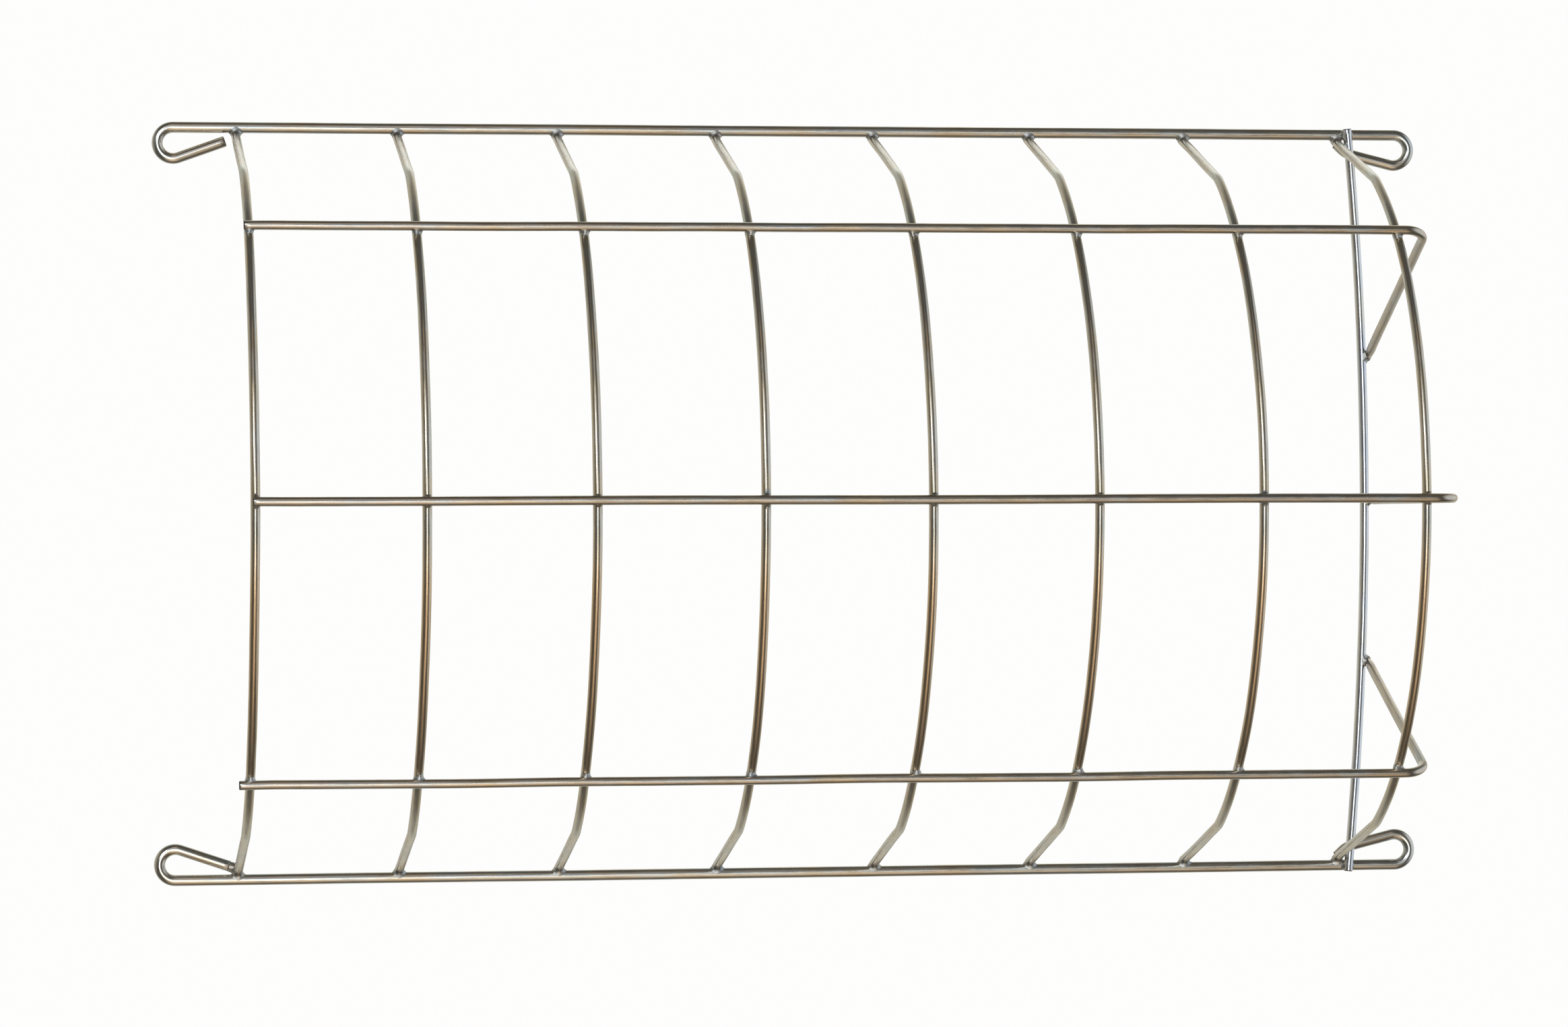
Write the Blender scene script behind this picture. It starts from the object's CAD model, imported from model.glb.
"""Looks of the hay rack: every wire swept as one fine tube, every weld as a blended fillet of metal."""

import math

import bpy
import numpy as np
from mathutils import Matrix, Vector


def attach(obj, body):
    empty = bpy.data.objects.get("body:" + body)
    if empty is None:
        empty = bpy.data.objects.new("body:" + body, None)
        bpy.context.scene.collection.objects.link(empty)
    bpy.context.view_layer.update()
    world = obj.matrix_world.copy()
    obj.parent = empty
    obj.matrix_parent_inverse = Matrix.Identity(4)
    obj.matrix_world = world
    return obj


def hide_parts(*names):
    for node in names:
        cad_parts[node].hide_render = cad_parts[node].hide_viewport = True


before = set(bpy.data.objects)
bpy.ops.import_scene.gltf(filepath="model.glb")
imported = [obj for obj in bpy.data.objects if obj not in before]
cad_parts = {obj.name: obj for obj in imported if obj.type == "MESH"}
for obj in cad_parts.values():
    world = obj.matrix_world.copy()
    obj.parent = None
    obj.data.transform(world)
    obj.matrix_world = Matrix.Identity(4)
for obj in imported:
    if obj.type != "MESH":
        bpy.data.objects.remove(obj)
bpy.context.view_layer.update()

MM = 0.001

# Driving sizes of the rack in millimetres, as in the part's source
RAIL_SPACING, RAIL_LENGTH, BASKET_DEPTH = 350, 602, 166
RAIL_WIRE, RIB_WIRE, BAR_WIRE, CROSSBAR_WIRE = 5.2, 4.3, 4.3, 4.3
RIB_COUNT, FIRST_RIB_DROP, LAST_RIB_RISE = 8, 39, 38
RIB_BEND_RADIUS, RIB_BEND_ANGLE, LEG_LEAN, RIB_END_GAP = 25, 12, 16, 0.5
OUTER_BAR_INSET, MIDDLE_BAR_SHIFT, BAR_OVERRUN = 50.5, 2, 13
LEG_BEND_RADIUS, LEG_LANDING, LEG_DRIFT = 10, 72, 4
BAR_OVERHANG = {-1: 5, 0: 1.2, 1: 2.2}
CROSSBAR_GAP, CROSSBAR_BOW = 0.3, 8
EYE_CLEAR, UPPER_TAIL_INSET = 9.3, 6.4
UPPER_TAIL_GAP = {-1: 2, 1: 2.9}
CLOSING_BEND_RADIUS, CLOSING_BEND_ANGLE, CLOSING_RUN, CLOSING_GAP = 12, 30, 3.6, 1.6
FOOT_SETDOWN, LEG_SETDOWN, CROSS_SETDOWN, BEND_SWELL = 1.2, 1, 0.5, 0.03

# Mesh fineness: spacing in millimetres of a wire's rings when straight and in its tightest bends, and of a
# weld's grid. A wire has SIDES sides, and a bend's rings are a share of its radius apart.
RING_STEP, BEND_STEP, NET_STEP = 3.0, 0.7, 0.36
SIDES, RINGS_PER_RADIUS = 28, 12

# Drift of each kind of wire in millimetres, as wave lengths along it and size at the longest one
DRIFT_LENGTHS = (260, 140, 70)
RAIL_DRIFT, RIB_DRIFT, BAR_DRIFT, CROSSBAR_DRIFT = 0.05, 0.12, 0.1, 0.08
# How far from a wire's end the drift has its full size
DRIFT_RAMP = 15
# Rails and bars drift only sideways and lengthwise, never towards the wall or the front
FLAT = (1, 0, 1)

# Dents of a drawn wire: length along it in millimetres and number of lobes round it. A wire is thinner by
# DENT_SIZE times DENT_BASE, give or take DENT_SWING for each kind of dent.
DENTS = ((31, 1), (17, 2), (9, 3), (53, 2))
DENT_SIZE, DENT_BASE, DENT_SWING = 0.014, 1.6, 0.4

# Cut ends, in millimetres: width of the worn edge, length without other rings, and each burr's height with
# its number of lobes
CHAMFER = 0.35
LIP_RUN = 0.6 + CHAMFER
BURRS = ((0.05, 2), (0.03, 5))

# The bars' lower ends are pressed this much thinner in welding, over this length in millimetres
LEG_PINCH, PINCH_RUN = 0.3, 9.0

# End of the range for a wave's random phase, about a full turn, and the seeds of all that is random
PHASES = 6.3
WIRE_SEED, WELD_SEED = 7, 11


def sind(a):
    return math.sin(math.radians(a))


def cosd(a):
    return math.cos(math.radians(a))


# Places that follow from the sizes
rail_x = RAIL_SPACING / 2
rail_y = -(RAIL_WIRE / 2 + BEND_SWELL)
eye_radius = (EYE_CLEAR + RAIL_WIRE) / 2
eye_z = RAIL_LENGTH / 2 + rail_y - eye_radius
first_z = RAIL_LENGTH / 2 - FIRST_RIB_DROP
last_z = LAST_RIB_RISE - RAIL_LENGTH / 2
rib_zs = [first_z + (last_z - first_z) * k / (RIB_COUNT - 1) for k in range(RIB_COUNT)]
crown_y = -(BASKET_DEPTH + RIB_WIRE / 2)
crown_angle = 90 - LEG_LEAN - RIB_BEND_ANGLE
leg_dir = np.array([sind(LEG_LEAN), cosd(LEG_LEAN)])
leg_side = np.array([-cosd(LEG_LEAN), sind(LEG_LEAN)])
foot = np.array([rail_x, rail_y]) + leg_side * ((RAIL_WIRE + RIB_WIRE) / 2 - FOOT_SETDOWN)
bend_step = RIB_BEND_RADIUS * np.array(
    [cosd(LEG_LEAN) - sind(crown_angle), cosd(crown_angle) - sind(LEG_LEAN)])
crown_step = np.array([sind(crown_angle), 1 - cosd(crown_angle)])
to_foot = foot - bend_step - np.array([0, crown_y])
crown_radius = (to_foot @ leg_side) / (crown_step @ leg_side)
leg_run = (to_foot - crown_radius * crown_step) @ leg_dir
arc_y = crown_y + crown_radius
bar_ring = crown_radius + (RIB_WIRE + BAR_WIRE) / 2 - CROSS_SETDOWN
bar_corner_z = last_z - BAR_OVERRUN
crossbar_y = rail_y - (RAIL_WIRE + CROSSBAR_WIRE) / 2 + CROSS_SETDOWN
crossbar_radius = (rail_x ** 2 + CROSSBAR_BOW ** 2) / (2 * CROSSBAR_BOW)
crossbar_low_z = last_z - (RIB_WIRE + CROSSBAR_WIRE) / 2 - CROSSBAR_GAP - CROSSBAR_BOW


def crossbar_z(x):
    return crossbar_low_z + crossbar_radius - math.sqrt(crossbar_radius ** 2 - x * x)


def bar_angle(side):
    x = side * (rail_x - OUTER_BAR_INSET) if side else MIDDLE_BAR_SHIFT
    return math.asin(x / bar_ring)


def on_ring(radius, angle, z):
    return np.array([radius * math.sin(angle), arc_y - radius * math.cos(angle), z])


def leg_x(side):
    return side * LEG_LANDING - LEG_DRIFT if side else 0


def leg_end(side):
    x = leg_x(side)
    return np.array([x, crossbar_y + CROSSBAR_WIRE / 2,
                     crossbar_z(x) - (CROSSBAR_WIRE + BAR_WIRE) / 2 + LEG_SETDOWN])


def leg_vector(side):
    return leg_end(side) - on_ring(bar_ring, bar_angle(side), bar_corner_z)


def tail(inset, rise, step_along=0.0, step_across=0.0):
    """Slope and straight length of an eye's tail.

    It ends inset from the rail's middle and rise from the eye's centre. The steps are what a closing bend
    adds, along the tail and across it.
    """
    across = step_across - eye_radius
    along = math.sqrt((eye_radius - inset) ** 2 + rise ** 2 - across ** 2)
    slope = math.degrees(math.atan2(eye_radius - inset, rise) - math.atan2(across, along))
    return slope, along - step_along


def trace(start, along, across, steps):
    """Centre line that sets off from start along a direction.

    A step is ("run", length) or ("arc", radius, degrees), and an arc bends towards across.
    """
    at, t, n = (np.array(v, float) for v in (start, along, across))
    points = [at]
    for kind, size, *angle in steps:
        if kind == "run":
            count = max(1, math.ceil(size / RING_STEP))
            points += [at + t * size * (i + 1) / count for i in range(count)]
        else:
            turn = math.radians(angle[0])
            spacing = min(RING_STEP, max(BEND_STEP, size / RINGS_PER_RADIUS))
            count = max(3, math.ceil(size * turn / spacing))
            for i in range(count):
                a = turn * (i + 1) / count
                points.append(at + size * (math.sin(a) * t + (1 - math.cos(a)) * n))
            t, n = (math.cos(turn) * t + math.sin(turn) * n, math.cos(turn) * n - math.sin(turn) * t)
        at = points[-1]
    return np.array(points)


def joined(first, second):
    """Two centre lines that start at the same point, as one."""
    return np.concatenate([first[::-1], second[1:]])


def lengths_along(points):
    """Length of a centre line from its start to each of its points."""
    return np.concatenate([[0], np.cumsum(np.linalg.norm(np.diff(points, axis=0), axis=1))])


def smooth_step(x):
    return x * x * (3 - 2 * x)


def wander(points, rng, size, axes=(1, 1, 1)):
    """The same centre line with the drift of a hand-fed wire, a fraction of a millimetre."""
    s = lengths_along(points)
    drift = np.zeros_like(points)
    for length in DRIFT_LENGTHS:
        phase, way = rng.uniform(0, 2 * math.pi, 3), rng.normal(size=3)
        drift += np.sin(2 * math.pi * s[:, None] / length + phase) * way * size * length / DRIFT_LENGTHS[0]
    ends = np.clip(np.minimum(s, s[-1] - s) / DRIFT_RAMP, 0, 1)[:, None]
    return points + drift * ends * np.array(axes)


def tube_frames(points):
    """Tangents and a pair of normals carried along a centre line without twist."""
    t = np.gradient(points, axis=0)
    t /= np.linalg.norm(t, axis=1)[:, None]
    side = np.cross(t[0], (0.21, 0.43, 0.88))  # any direction that no wire starts along
    sides = []
    for k in t:
        side = side - k * (side @ k)
        side = side / np.linalg.norm(side)
        sides.append(side)
    u = np.array(sides)
    return t, u, np.cross(t, u)


def tube(name, points, diameter, rng, pinch=0.0):
    """Mesh of one wire: rings along its centre line, and slightly uneven cut ends with a worn edge.

    Pinch is how much thinner the wire is where its last end was pressed flat in welding. Each point keeps
    its place in the wire as if it were straight, in millimetres, as wire_mm, and cut is 1 on the cut faces.
    """
    t, u, v = tube_frames(points)
    radius = diameter / 2
    s = lengths_along(points)
    around = np.linspace(0, 2 * math.pi, SIDES, endpoint=False)
    dents = sum(
        np.sin(2 * math.pi * s[:, None] / length + lobes * around + rng.uniform(0, PHASES))
        for length, lobes in DENTS)
    radii = radius - DENT_SIZE * (DENT_BASE + dents * DENT_SWING)
    pressed = np.clip(1 - (s[-1] - s) / PINCH_RUN, 0, 1)[:, None]
    radii = radii * (1 - pinch * smooth_step(pressed))
    rings, local, cut = [], [], []

    def add_ring(centre, i, ring_radius, along, is_cut):
        rings.append(centre + ring_radius[:, None] * (
            np.cos(around)[:, None] * u[i] + np.sin(around)[:, None] * v[i]))
        local.append(np.stack(
            [radius * np.cos(around), radius * np.sin(around), np.full(SIDES, along)], axis=1))
        cut.append(np.full(SIDES, float(is_cut)))

    burr = sum(height * np.sin(around * lobes + rng.uniform(0, PHASES)) for height, lobes in BURRS)

    def lip(i, inward):
        """Rings of a cut end: its middle, a shallow groove, the burred rim, the worn edge, and the wire."""
        return [
            (points[i], radii[i] * 0.3, True),
            (points[i] + inward * 0.04, radii[i] - CHAMFER - 0.1, True),
            (points[i] + inward * 0.02, radii[i] - CHAMFER + burr * 0.6, True),
            (points[i] + inward * (0.12 + 0.5 * CHAMFER), radii[i] - 0.25 * CHAMFER + burr * 0.5, True),
            (points[i] + inward * (0.2 + CHAMFER), radii[i], False),
        ]

    last = len(points) - 1
    for centre, ring_radius, is_cut in lip(0, t[0]):
        add_ring(centre, 0, ring_radius, s[0], is_cut)
    for i in range(1, last):
        if min(s[i], s[-1] - s[i]) > LIP_RUN:
            add_ring(points[i], i, radii[i], s[i], False)
    for centre, ring_radius, is_cut in reversed(lip(last, -t[last])):
        add_ring(centre, last, ring_radius, s[last], is_cut)
    count = len(rings)
    verts = np.concatenate(rings)
    ring = np.arange(count * SIDES).reshape(count, SIDES)
    nxt = np.roll(ring, -1, axis=1)
    quads = np.stack([ring[:-1], nxt[:-1], nxt[1:], ring[1:]], axis=-1).reshape(-1, 4)
    faces = quads.tolist() + [ring[0][::-1].tolist(), ring[-1].tolist()]
    return finish_mesh(name, verts, faces, {"wire_mm": np.concatenate(local), "cut": np.concatenate(cut)})


def finish_mesh(name, verts, faces, attributes=None):
    """Smooth-shaded object from points in millimetres. Attributes are values for the points by name."""
    mesh = bpy.data.meshes.new(name)
    mesh.from_pydata((verts * MM).tolist(), [], faces)
    mesh.update()
    for key, values in (attributes or {}).items():
        if values.ndim == 2:
            mesh.attributes.new(key, "FLOAT_VECTOR", "POINT").data.foreach_set("vector", values.ravel())
        else:
            mesh.attributes.new(key, "FLOAT", "POINT").data.foreach_set("value", values)
    mesh.polygons.foreach_set("use_smooth", [True] * len(mesh.polygons))
    piece = bpy.data.objects.new(name, mesh)
    bpy.context.scene.collection.objects.link(piece)
    return piece


# Centre lines of the wires

def rail_path(side):
    rise = eye_z - first_z - RIB_WIRE / 2 - UPPER_TAIL_GAP[side]
    slope, run = tail(UPPER_TAIL_INSET, rise)
    low_slope, low_run = tail(
        RAIL_WIRE / 2 + CLOSING_GAP, eye_z + last_z,
        CLOSING_BEND_RADIUS * sind(CLOSING_BEND_ANGLE) + CLOSING_RUN * cosd(CLOSING_BEND_ANGLE),
        CLOSING_BEND_RADIUS * (1 - cosd(CLOSING_BEND_ANGLE)) + CLOSING_RUN * sind(CLOSING_BEND_ANGLE))
    middle, inward = (side * rail_x, rail_y, 0), (-side, 0, 0)
    upper = trace(middle, (0, 0, 1), inward,
                  [("run", eye_z), ("arc", eye_radius, 180 + slope), ("run", run)])
    lower = trace(middle, (0, 0, -1), inward,
                  [("run", eye_z), ("arc", eye_radius, 180 + low_slope), ("run", low_run),
                   ("arc", CLOSING_BEND_RADIUS, CLOSING_BEND_ANGLE), ("run", CLOSING_RUN)])
    return joined(lower, upper)


def rib_path(k):
    if k < RIB_COUNT - 1:
        end_y = -RIB_END_GAP - RIB_WIRE / 2 * sind(LEG_LEAN)
    else:
        end_y = rail_y - RAIL_WIRE / 2 + CROSS_SETDOWN
    halves = [
        trace((0, crown_y, rib_zs[k]), (side, 0, 0), (0, 1, 0),
              [("arc", crown_radius, crown_angle), ("arc", RIB_BEND_RADIUS, RIB_BEND_ANGLE),
               ("run", leg_run + (end_y - foot[1]) / leg_dir[1])])
        for side in (-1, 1)]
    return joined(*halves)


def bar_path(side):
    back = leg_vector(side)
    across = np.array([back[0], back[1], 0])
    bend = math.degrees(math.atan2(np.linalg.norm(across), -back[2]))
    setback = LEG_BEND_RADIUS * math.tan(math.radians(bend) / 2)
    top_z = first_z + BAR_OVERHANG[side]
    return trace(on_ring(bar_ring, bar_angle(side), top_z), (0, 0, -1), across / np.linalg.norm(across),
                 [("run", top_z - bar_corner_z - setback), ("arc", LEG_BEND_RADIUS, bend),
                  ("run", np.linalg.norm(back) - setback)])


def crossbar_path():
    half = math.degrees(math.asin((rail_x + RAIL_WIRE / 2) / crossbar_radius))
    return joined(*(trace((0, crossbar_y, crossbar_low_z), (side, 0, 0), (0, 0, 1),
                          [("arc", crossbar_radius, half)]) for side in (-1, 1)))


# Weld metal as a blended skin over the wires that it joins. All sizes are in millimetres.

# How far the skin's edge sinks below the wires, the share of its reach where it starts to sink, and the share
# over which it does
SINK, FADE_START, FADE_RUN = 0.34, 0.42, 0.45
# Unevenness of the metal: wave lengths, waves of each, how many times longer than high they are, and its
# share of a bulge
RIPPLE_LENGTHS, RIPPLE_WAVES, RIPPLE_FLATNESS, RIPPLE_SHARE = (5.0, 3.1, 1.9), 3, 15, 0.7
# Width of the fillet between a bead and the metal
BEAD_BLEND = 1.0

# Foot welds: how far they lie back along the leg, and their two beads' place, height and radii
FOOT_BACK, FOOT_BEAD_OFF, FOOT_BEAD_LIFT, FOOT_BEAD_RADII = 0.8, 0.2, 1.7, (0.5, 0.8)
# Crossing welds at the outer bars: distance of their one bead from the bar's middle, its heights and radii
CROSSING_BEAD_OFF, CROSSING_BEAD_LIFTS, CROSSING_BEAD_RADII = 1.9, (-1.6, 1.6), (1.0, 1.5)
# Leg welds: how far the bead lies back along the leg, its radius, and how far the metal covers the end
LEG_BEAD_BACK, LEG_BEAD_RADIUS, LEG_COVER = 1.2, 1.6, 0.2
# How far the ends of ribs, bars and crossbar show beyond the metal
RIB_SHOWS, BAR_SHOWS, CROSSBAR_SHOWS = 0.25, 0.5, 0.3
# Tack weld: how far it lies above its wires' middle and stops short of the wall
TACK_RISE, TACK_OFF_WALL = 0.5, 0.45


def smooth_min(a, b, width):
    h = np.clip(width - np.abs(a - b), 0, None) / width
    return np.minimum(a, b) - h * h * width / 4


def wire_distance(p, at, along, diameter):
    """Distance of points from the surface of a long straight wire, negative inside."""
    along = np.array(along, float) / np.linalg.norm(along)
    q = p - at
    return np.linalg.norm(q - (q @ along)[..., None] * along, axis=-1) - diameter / 2


def surface_net(field, origin, step):
    """Closed quad mesh of the surface where the field changes sign."""
    inside = field < 0
    size = np.array(field.shape) - 1
    total, hits = np.zeros((*size, 3)), np.zeros(size)

    def corner(array, offset):
        return array[tuple(slice(o, o + n) for o, n in zip(offset, size))]

    for axis in range(3):
        for a in (0, 1):
            for b in (0, 1):
                start = [a, b]
                start.insert(axis, 0)
                end = list(start)
                end[axis] = 1
                f0, f1 = corner(field, start), corner(field, end)
                crosses = (f0 < 0) != (f1 < 0)
                share = np.where(crosses, f0 / np.where(crosses, f0 - f1, 1), 0)
                point = np.array(start) + share[..., None] * (np.array(end) - start)
                total += np.where(crosses[..., None], point, 0)
                hits += crosses
    active = hits > 0
    index = np.full(size, -1)
    index[active] = np.arange(active.sum())
    cells = np.argwhere(active)
    verts = origin + step * (cells + total[active] / hits[active][:, None])
    faces = []
    for axis in range(3):
        one, two = [k for k in range(3) if k != axis]
        lead = np.zeros(3, int)
        lead[axis] = 1
        low = tuple(slice(0, n) for n in size)
        shifted = tuple(slice(o, o + n) for o, n in zip(lead, size))
        changes = np.argwhere(inside[low] != inside[shifted])
        changes = changes[(changes[:, one] > 0) & (changes[:, two] > 0)]
        back_one, back_two = np.zeros(3, int), np.zeros(3, int)
        back_one[one], back_two[two] = 1, 1
        loop = [changes, changes - back_one, changes - back_one - back_two, changes - back_two]
        quads = np.stack([index[tuple(c.T)] for c in loop], axis=1)
        # The loop turns the other way about the y axis, as x and z then stand in the opposite order
        outward = inside[tuple(changes.T)] == (axis != 1)
        faces.append(np.where(outward[:, None], quads, quads[:, ::-1]))
    return verts, np.concatenate(faces)


def ripple(p, rng):
    """Soft unevenness of fused metal, between about -1 and 1."""
    total = np.zeros(p.shape[:-1])
    for length in RIPPLE_LENGTHS:
        for _ in range(RIPPLE_WAVES):
            way = rng.normal(size=3)
            way /= np.linalg.norm(way)
            wave = np.sin(p @ way * 2 * math.pi / length + rng.uniform(0, PHASES))
            total += wave * length / RIPPLE_FLATNESS
    return total


def weld(centre, wires, rng, reach=5.2, blend=1.9, bulge=0.12, beads=(), cuts=()):
    """Skin of weld metal round centre, over wires given as (point, direction, diameter).

    Blend is the width of the fillet between the wires, and bulge is how far the metal stands proud of them.
    Towards its reach the skin sinks below the wires' own surfaces. Beads are (centre, radius), and cuts are
    planes (point, normal) that end the metal.
    """
    half = reach + 3 * NET_STEP
    axis = np.arange(-half, half + NET_STEP, NET_STEP)
    p = np.stack(np.meshgrid(axis, axis, axis, indexing="ij"), axis=-1) + centre
    field = None
    for at, along, diameter in wires:
        d = wire_distance(p, np.array(at), along, diameter)
        field = d if field is None else smooth_min(field, d, blend)
    for at, radius in beads:
        field = smooth_min(field, np.linalg.norm(p - at, axis=-1) - radius, BEAD_BLEND)
    away = np.linalg.norm(p - centre, axis=-1)
    fade = np.clip((away - FADE_START * reach) / (FADE_RUN * reach), 0, 1)
    swell = bulge * (1 + RIPPLE_SHARE * ripple(p, rng))
    field = field - swell * (1 - fade) + SINK * smooth_step(fade)
    field = np.maximum(field, away - reach)
    for at, normal in cuts:
        field = np.maximum(field, (p - at) @ np.array(normal))
    return surface_net(field, centre - half, NET_STEP)


def weld_piece(name, welds):
    """One object of all the given welds' skins."""
    verts, faces, start = [], [], 0
    for v, f in welds:
        verts.append(v)
        faces += (f + start).tolist()
        start += len(v)
    return finish_mesh(name, np.concatenate(verts), faces)


def foot_welds(rng):
    """Rib feet on the rails, squeezed out into a bead above and below each leg."""
    for z in rib_zs:
        for side in (-1, 1):
            mirror = np.array([side, 1, 1])
            rail = np.array([rail_x, rail_y, z]) * mirror
            leg = np.array([*foot, z]) * mirror
            along = np.array([*leg_dir, 0]) * mirror
            centre = (rail + leg) / 2 - along * FOOT_BACK
            end_y = -RIB_END_GAP - RIB_SHOWS
            beads = [(centre + np.array([-side * FOOT_BEAD_OFF, -FOOT_BEAD_OFF, lift]),
                      rng.uniform(*FOOT_BEAD_RADII))
                     for lift in (-FOOT_BEAD_LIFT, FOOT_BEAD_LIFT)]
            wires = [(rail, (0, 0, 1), RAIL_WIRE), (leg, along, RIB_WIRE)]
            yield weld(centre, wires, rng, reach=5.6, blend=2.4, bulge=0.06, beads=beads,
                       cuts=[((0, end_y, 0), (0, 1, 0))])


def crossing_welds(rng):
    """Crossings of ribs and bars, with a bead on the inner side of each outer bar."""
    for z in rib_zs:
        for side in (-1, 0, 1):
            angle = bar_angle(side)
            centre = on_ring(crown_radius + (RIB_WIRE - CROSS_SETDOWN) / 2, angle, z)
            along = np.array([math.cos(angle), math.sin(angle), 0])
            rib_at, bar_at = on_ring(crown_radius, angle, z), on_ring(bar_ring, angle, z)
            beads = []
            if side:
                inward = -side * along * CROSSING_BEAD_OFF
                lift = np.array([0, 0, rng.uniform(*CROSSING_BEAD_LIFTS)])
                beads = [(centre + inward + lift, rng.uniform(*CROSSING_BEAD_RADII))]
            top = on_ring(bar_ring, angle, first_z + BAR_OVERHANG[side] - BAR_SHOWS)
            yield weld(centre, [(rib_at, along, RIB_WIRE), (bar_at, (0, 0, 1), BAR_WIRE)], rng,
                       beads=beads, cuts=[(top, (0, 0, 1))])


def crossbar_slope(x):
    """Direction of the crossbar at x, not of unit length."""
    return np.array([1, 0, x / math.sqrt(crossbar_radius ** 2 - x * x)])


def crossbar_welds(rng):
    """The crossbar's ends on the rails, then the three legs' ends on the crossbar."""
    for side in (-1, 1):
        x = side * rail_x
        rail, bar = np.array([x, rail_y, crossbar_z(x)]), np.array([x, crossbar_y, crossbar_z(x)])
        wires = [(rail, (0, 0, 1), RAIL_WIRE), (bar, crossbar_slope(x), CROSSBAR_WIRE)]
        end = (side * (rail_x + RAIL_WIRE / 2 - CROSSBAR_SHOWS), 0, 0)
        yield weld((rail + bar) / 2, wires, rng, cuts=[(end, (side, 0, 0))])
    for side in (-1, 0, 1):
        x = leg_x(side)
        bar, leg = np.array([x, crossbar_y, crossbar_z(x)]), leg_end(side)
        wires = [(bar, crossbar_slope(x), CROSSBAR_WIRE),
                 (leg, leg_vector(side), BAR_WIRE * (1 - LEG_PINCH))]
        along = leg_vector(side) / np.linalg.norm(leg_vector(side))
        centre = np.array([x, crossbar_y, (bar[2] + leg[2]) / 2])
        yield weld(centre, wires, rng, reach=4.8, blend=2.8,
                   beads=[(leg - along * LEG_BEAD_BACK, LEG_BEAD_RADIUS)],
                   cuts=[(leg + along * LEG_COVER, along)])


def tack_weld(rng):
    """The upper left eye's tail on the first rib's leg."""
    end_z = first_z + RIB_WIRE / 2 + UPPER_TAIL_GAP[-1]
    tail_end = np.array([-(rail_x - UPPER_TAIL_INSET), rail_y, end_z])
    leg = np.array([-foot[0], foot[1], first_z])
    slope, _ = tail(UPPER_TAIL_INSET, eye_z - end_z)
    wires = [(tail_end, (-sind(slope), 0, -cosd(slope)), RAIL_WIRE),
             (leg, (-leg_dir[0], leg_dir[1], 0), RIB_WIRE)]
    centre = (tail_end + leg) / 2 + np.array([0, 0, TACK_RISE])
    yield weld(centre, wires, rng, reach=4.6, blend=1.6, bulge=0.05,
               cuts=[((0, -TACK_OFF_WALL, 0), (0, 1, 0))])


# Materials

# Greatest share of the stain in the streaks, and of the bright colour in the specks
STAIN_SHARE, SPECK_SHARE = 0.55, 0.25
SPECK = (0.86, 0.86, 0.84)
BARE_STEEL, BARE_ROUGHNESS = (0.16, 0.145, 0.13), 0.55
# Height of the surface's relief, in metres
RELIEF_HEIGHT = 0.0002

# Golden passivation: the span of the rack's width that it lies in, in metres, and its share from one end of
# that span to the other
GILT_SPAN = (-0.16, 0.04)
GILT_SHARE = [(0.05, (0, 0, 0)), (0.35, (0.75, 0.75, 0.75)), (0.62, (0.9, 0.9, 0.9)), (0.8, (0, 0, 0))]


def node(tree, kind, **values):
    """New node with the given settings, each an attribute of the node or else one of its inputs."""
    made = tree.nodes.new(kind)
    for key, value in values.items():
        if hasattr(made, key):
            setattr(made, key, value)
        else:
            made.inputs[key].default_value = value
    return made


def ramp(tree, source, stops):
    """Colour for each value of the source, between stops given as (value, colour)."""
    made = tree.nodes.new("ShaderNodeValToRGB")
    ends = made.color_ramp.elements
    while len(ends) < len(stops):
        ends.new(0.5)
    for element, (place, colour) in zip(ends, stops):
        element.position = place
        element.color = (*colour, 1)
    tree.links.new(source, made.inputs["Fac"])
    return made.outputs["Color"]


def mixed(tree, factor, a, b, mode="MIX"):
    """Mix of two colours. Each of them and the factor may be a value or a socket."""
    made = tree.nodes.new("ShaderNodeMix")
    made.data_type, made.blend_type = "RGBA", mode
    for socket, value in ((made.inputs[0], factor), (made.inputs[6], a), (made.inputs[7], b)):
        if isinstance(value, bpy.types.NodeSocket):
            tree.links.new(value, socket)
        else:
            socket.default_value = value if isinstance(value, float) else (*value, 1)
    return made.outputs[2]


def noise(tree, vector, scale, detail, stretch):
    """Noise over the given coordinates, with their third one multiplied by stretch."""
    shaped = node(tree, "ShaderNodeVectorMath", operation="MULTIPLY")
    tree.links.new(vector, shaped.inputs[0])
    shaped.inputs[1].default_value = (1, 1, stretch)
    made = node(tree, "ShaderNodeTexNoise", Scale=scale, Detail=detail, Roughness=0.6)
    tree.links.new(shaped.outputs[0], made.inputs["Vector"])
    return made.outputs["Fac"]


def to_range(tree, source, low, high, start=0.3, end=0.7):
    """Low where the source is below start, high above end, and evenly between."""
    made = node(tree, "ShaderNodeMapRange", clamp=True)
    tree.links.new(source, made.inputs["Value"])
    for key, value in (("From Min", start), ("From Max", end), ("To Min", low), ("To Max", high)):
        made.inputs[key].default_value = value
    return made.outputs["Result"]


def in_millimetres(tree):
    """The object's own coordinates, in millimetres."""
    scaled = node(tree, "ShaderNodeVectorMath", operation="SCALE")
    tree.links.new(node(tree, "ShaderNodeTexCoord").outputs["Object"], scaled.inputs[0])
    scaled.inputs["Scale"].default_value = 1 / MM
    return scaled.outputs[0]


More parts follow.
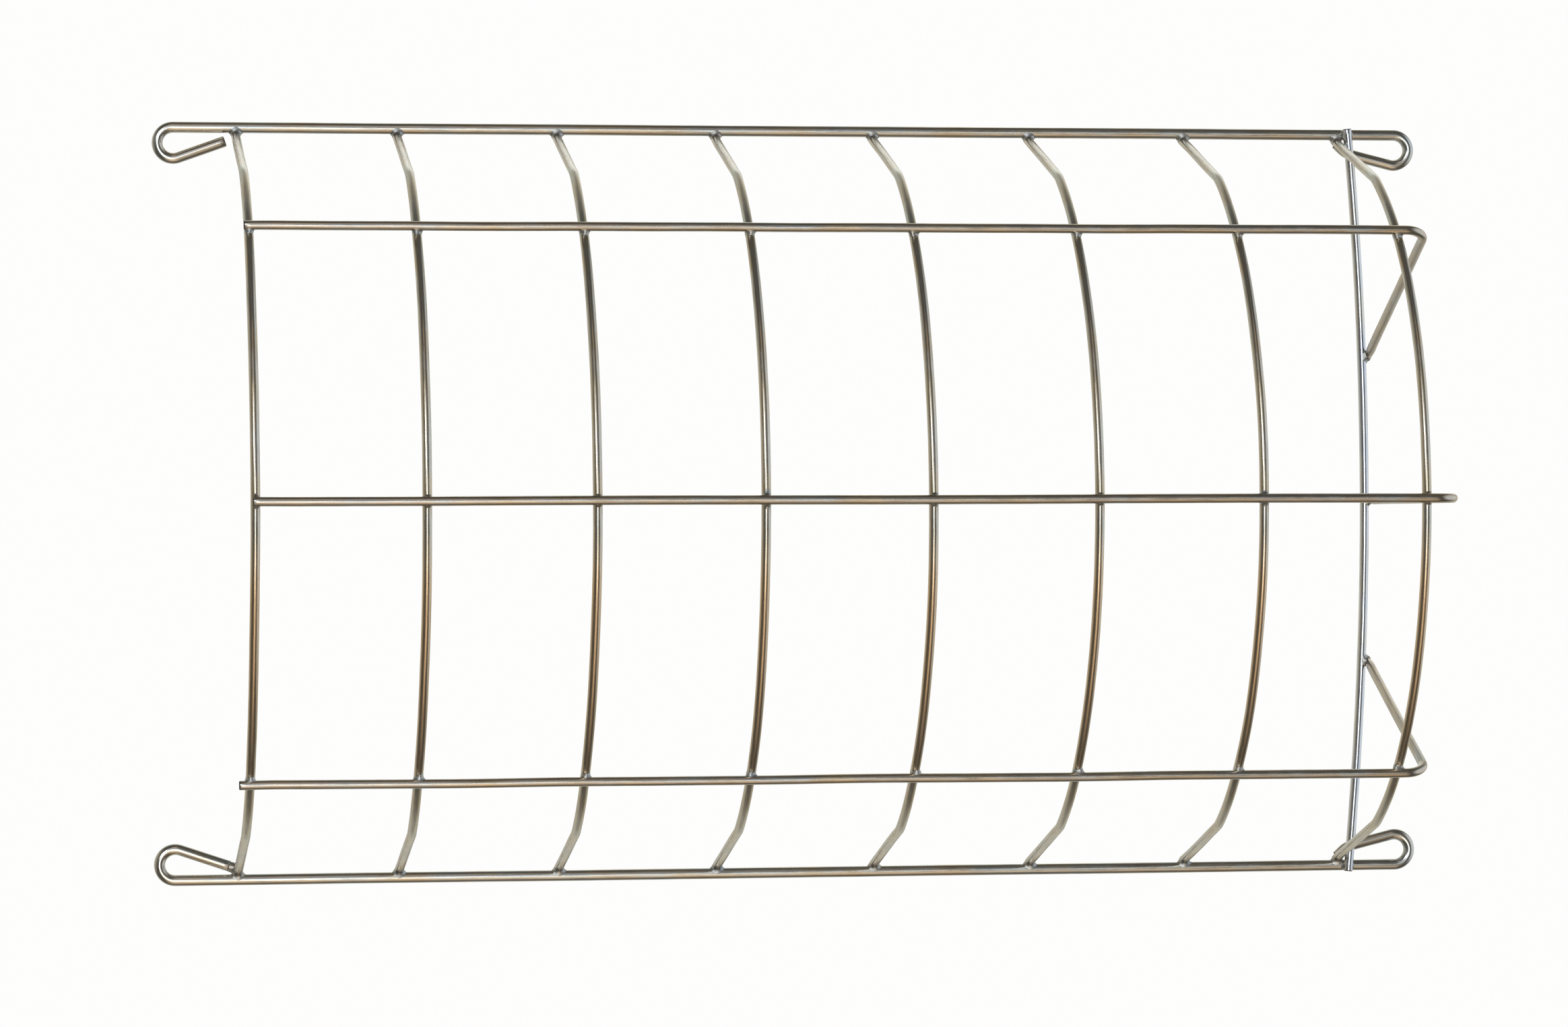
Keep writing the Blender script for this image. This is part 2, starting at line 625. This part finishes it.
def zinc(name, stops, stain, roughness, bump=0.045, drawn=True, gilt=None):
    """Bright zinc: blotches of passivation colour, drawn streaks, dull stains and bright specks.

    Stops are the blotches' colours, and roughness is a range. On drawn wire the pattern follows the wire,
    and its cut ends are bare steel. Gilt is a golden colour that takes over in part of the rack's width.
    """
    material = bpy.data.materials.new(name)
    material.use_nodes = True
    tree = material.node_tree
    shader = tree.nodes["Principled BSDF"]
    shader.inputs["Metallic"].default_value = 1.0
    if drawn:
        place = node(tree, "ShaderNodeAttribute", attribute_name="wire_mm").outputs["Vector"]
    else:
        place = in_millimetres(tree)
    blotch = noise(tree, place, scale=0.09, detail=3.0, stretch=0.35 if drawn else 1)
    streak = noise(tree, place, scale=1.2, detail=4.0, stretch=0.05 if drawn else 1)
    spots = noise(tree, place, scale=0.8, detail=3.0, stretch=0.14)
    colour = ramp(tree, blotch, stops)
    if gilt:
        metres = node(tree, "ShaderNodeSeparateXYZ")
        tree.links.new(node(tree, "ShaderNodeTexCoord").outputs["Object"], metres.inputs[0])
        share = to_range(tree, metres.outputs["X"], 0.0, 1.0, *GILT_SPAN)
        colour = mixed(tree, ramp(tree, share, GILT_SHARE), colour, gilt)
    colour = mixed(tree, to_range(tree, streak, 0.0, STAIN_SHARE, start=0.5, end=0.72), colour, stain)
    colour = mixed(tree, to_range(tree, spots, 0.0, SPECK_SHARE, start=0.66, end=0.76), colour, SPECK)
    rough = to_range(tree, spots, *roughness)
    if drawn:
        cut = node(tree, "ShaderNodeAttribute", attribute_name="cut").outputs["Fac"]
        colour = mixed(tree, cut, colour, BARE_STEEL)
        bare = node(tree, "ShaderNodeMath", operation="MULTIPLY")
        tree.links.new(cut, bare.inputs[0])
        bare.inputs[1].default_value = BARE_ROUGHNESS
        roughest = node(tree, "ShaderNodeMath", operation="MAXIMUM")
        tree.links.new(rough, roughest.inputs[0])
        tree.links.new(bare.outputs[0], roughest.inputs[1])
        rough = roughest.outputs[0]
    tree.links.new(colour, shader.inputs["Base Color"])
    tree.links.new(rough, shader.inputs["Roughness"])
    height = node(tree, "ShaderNodeMath", operation="ADD")
    tree.links.new(streak, height.inputs[0])
    tree.links.new(spots, height.inputs[1])
    relief = node(tree, "ShaderNodeBump", Strength=bump, Distance=RELIEF_HEIGHT)
    tree.links.new(height.outputs[0], relief.inputs["Height"])
    tree.links.new(relief.outputs["Normal"], shader.inputs["Normal"])
    return material


# Colours of the plating, from its cool to its warm patches
COOL, NEUTRAL, WARM = (0.60, 0.66, 0.68), (0.68, 0.67, 0.62), (0.66, 0.58, 0.44)
materials = {
    "rail_zinc": zinc(
        "rail zinc", [(0.3, COOL), (0.5, NEUTRAL), (0.72, WARM)],
        stain=(0.30, 0.28, 0.26), roughness=(0.15, 0.26)),
    "rib_zinc": zinc(
        "rib zinc", [(0.28, (0.55, 0.62, 0.58)), (0.45, NEUTRAL), (0.65, WARM)],
        stain=(0.30, 0.26, 0.2), roughness=(0.18, 0.30), gilt=(0.74, 0.57, 0.38)),
    "bar_zinc": zinc(
        "bar zinc", [(0.3, COOL), (0.45, (0.6, 0.57, 0.52)), (0.7, WARM)],
        stain=(0.27, 0.24, 0.21), roughness=(0.15, 0.3)),
    "crossbar_zinc": zinc(
        "crossbar zinc", [(0.3, (0.66, 0.74, 0.85)), (0.5, (0.8, 0.83, 0.86)), (0.75, (0.82, 0.8, 0.7))],
        stain=(0.45, 0.46, 0.5), roughness=(0.12, 0.24)),
    "weld_metal": zinc(
        "weld metal", [(0.3, (0.42, 0.46, 0.48)), (0.5, (0.55, 0.56, 0.54)), (0.7, (0.5, 0.46, 0.4))],
        stain=(0.32, 0.31, 0.28), roughness=(0.32, 0.46), bump=0.16, drawn=False),
}


def place_piece(piece, slot, *nodes):
    """Gives a piece its material, and has it ride on the body and stand in for these CAD nodes."""
    piece.data.materials.append(materials[slot])
    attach(piece, "root")
    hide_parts(*nodes)


def build_wires():
    rng = np.random.default_rng(WIRE_SEED)
    sides = {-1: "left", 0: "middle", 1: "right"}

    def wire(name, slot, points, diameter, pinch=0.0):
        place_piece(tube(name + "_wire", points, diameter, rng, pinch), slot, name)

    for side in (-1, 1):
        path = wander(rail_path(side), rng, RAIL_DRIFT, FLAT)
        wire(f"rail_{sides[side]}", "rail_zinc", path, RAIL_WIRE)
    for k in range(RIB_COUNT):
        wire(f"rib_{k + 1}", "rib_zinc", wander(rib_path(k), rng, RIB_DRIFT), RIB_WIRE)
    for side in (-1, 0, 1):
        path = wander(bar_path(side), rng, BAR_DRIFT, FLAT)
        wire(f"bar_{sides[side]}", "bar_zinc", path, BAR_WIRE, LEG_PINCH)
    wire("bottom_crossbar", "crossbar_zinc", wander(crossbar_path(), rng, CROSSBAR_DRIFT), CROSSBAR_WIRE)


def build_welds():
    rng = np.random.default_rng(WELD_SEED)
    for name, maker in (("rib_foot", foot_welds), ("rib_bar", crossing_welds),
                        ("crossbar", crossbar_welds), ("eye_tack", tack_weld)):
        place_piece(weld_piece(name + "_weld_metal", maker(rng)), "weld_metal", name + "_welds")


# Studio. Ways are given as the camera sees the rack, which lies on its back with its open top to the left:
# right is -Z, up is +X and towards the viewer is -Y.

FLOOR_Z, FLOOR_HALF = -1.0, 400.0
PALE = (0.985, 0.985, 0.98)

# Light that the wires reflect. Each lamp is a round glow, at so many degrees right of the viewer and up. It
# is even to its inner radius and gone at its outer one, also in degrees.
BASE_LIGHT = (0.10, 0.095, 0.085)
LAMPS = [
    # right, up, inner, outer, colour
    (-5, 1, 5, 12, (3.0, 3.2, 3.5)),          # window beside the camera
    (-6, 28, 5, 20, (0.5, 0.5, 0.52)),        # the wall above it
    (-4, -18, 4, 15, (2.1, 2.0, 1.8)),        # the window's lower part
    (0, -46, 6, 24, (0.62, 0.48, 0.34)),      # warm light from below the camera
    (10, 3, 2, 9, (0.9, 0.92, 0.9)),          # the window's right edge
    (10, -26, 6, 24, (0.34, 0.25, 0.18)),     # warm glow under that edge
    (0, 52, 2, 10, (0.5, 0.33, 0.2)),         # a warm lamp high up
    (85, 5, 20, 50, (0.66, 0.7, 0.76)),       # large window on the right
    (-100, 10, 15, 45, (0.28, 0.25, 0.2)),    # wall on the left
    (168, 24, 8, 30, (0.5, 0.5, 0.5)),        # window behind the rack
    (180, 0, 40, 80, (0.5, 0.48, 0.41)),      # pale surroundings behind the rack
    (0, -70, 8, 30, (0.16, 0.11, 0.07)),      # floor in front of the rack
]

# Camera: its place in metres, the ways back from it and up in its picture, and its lens in millimetres
CAMERA_AT = (0.016, -2.5645, 0.385)
CAMERA_BACK, CAMERA_UP = (0.00827, -0.98913, 0.14684), (1.0, 0.00783, -0.00356)
CAMERA_LENS, SENSOR_WIDTH, CLIP_END = 125.94, 36.0, 1000.0

# Key light: strength, width in degrees, and its way
KEY_STRENGTH, KEY_WIDTH, KEY_WAY = 0.4, 25, (-25, 20)


def seen_way(right, up):
    """Direction that lies right and up by these degrees from the way towards the viewer."""
    a, e = math.radians(right), math.radians(up)
    return Vector((math.sin(e), -math.cos(e) * math.cos(a), -math.cos(e) * math.sin(a)))


def glow(tree, direction, way, inner, outer, colour):
    """Light from a round patch of sky about a way, with a soft edge between its two radii."""
    dot = node(tree, "ShaderNodeVectorMath", operation="DOT_PRODUCT")
    tree.links.new(direction, dot.inputs[0])
    dot.inputs[1].default_value = way
    edge = node(tree, "ShaderNodeMapRange", interpolation_type="SMOOTHSTEP")
    tree.links.new(dot.outputs["Value"], edge.inputs["Value"])
    edge.inputs["From Min"].default_value = cosd(outer)
    edge.inputs["From Max"].default_value = cosd(inner)
    return mixed(tree, edge.outputs["Result"], (0, 0, 0), colour)


def build_world():
    """A pale backdrop to the camera, and the lamps to every reflection."""
    world = bpy.data.worlds.new("studio")
    bpy.context.scene.world = world
    world.use_nodes = True
    tree = world.node_tree
    direction = node(tree, "ShaderNodeTexCoord").outputs["Generated"]
    light = BASE_LIGHT
    for right, up, inner, outer, colour in LAMPS:
        lamp = glow(tree, direction, seen_way(right, up), inner, outer, colour)
        light = mixed(tree, 1.0, light, lamp, "ADD")
    seen = node(tree, "ShaderNodeLightPath").outputs["Is Camera Ray"]
    tree.links.new(mixed(tree, seen, light, PALE), tree.nodes["Background"].inputs["Color"])


def build_floor():
    """A pale floor far below the rack, evenly lit to match the backdrop and left out of reflections."""
    corners = np.array([[-1, -1, 0], [1, -1, 0], [1, 1, 0], [-1, 1, 0]]) * FLOOR_HALF / MM
    floor = finish_mesh("floor", corners + np.array([0, 0, FLOOR_Z / MM]), [[0, 1, 2, 3]])
    material = bpy.data.materials.new("pale floor")
    material.use_nodes = True
    shader = material.node_tree.nodes["Principled BSDF"]
    shader.inputs["Base Color"].default_value = (0, 0, 0, 1)
    shader.inputs["Specular IOR Level"].default_value = 0.0
    shader.inputs["Emission Color"].default_value = (*PALE, 1)
    shader.inputs["Emission Strength"].default_value = 1.0
    floor.data.materials.append(material)
    floor.visible_glossy = False


def build_camera():
    data = bpy.data.cameras.new("camera")
    data.sensor_width, data.lens, data.clip_end = SENSOR_WIDTH, CAMERA_LENS, CLIP_END
    camera = bpy.data.objects.new("camera", data)
    bpy.context.scene.collection.objects.link(camera)
    back = Vector(CAMERA_BACK)
    right = Vector(CAMERA_UP).cross(back).normalized()
    up = back.cross(right)
    turn = Matrix((right, up, back)).transposed().to_4x4()
    camera.matrix_world = Matrix.Translation(CAMERA_AT) @ turn
    bpy.context.scene.camera = camera


def build_lights():
    sun = bpy.data.lights.new("key", "SUN")
    sun.energy, sun.angle = KEY_STRENGTH, math.radians(KEY_WIDTH)
    lamp = bpy.data.objects.new("key", sun)
    bpy.context.scene.collection.objects.link(lamp)
    lamp.matrix_world = seen_way(*KEY_WAY).to_track_quat("Z", "Y").to_matrix().to_4x4()


build_wires()
build_welds()
build_world()
build_floor()
build_lights()
build_camera()
bpy.context.scene.view_settings.view_transform = "Standard"
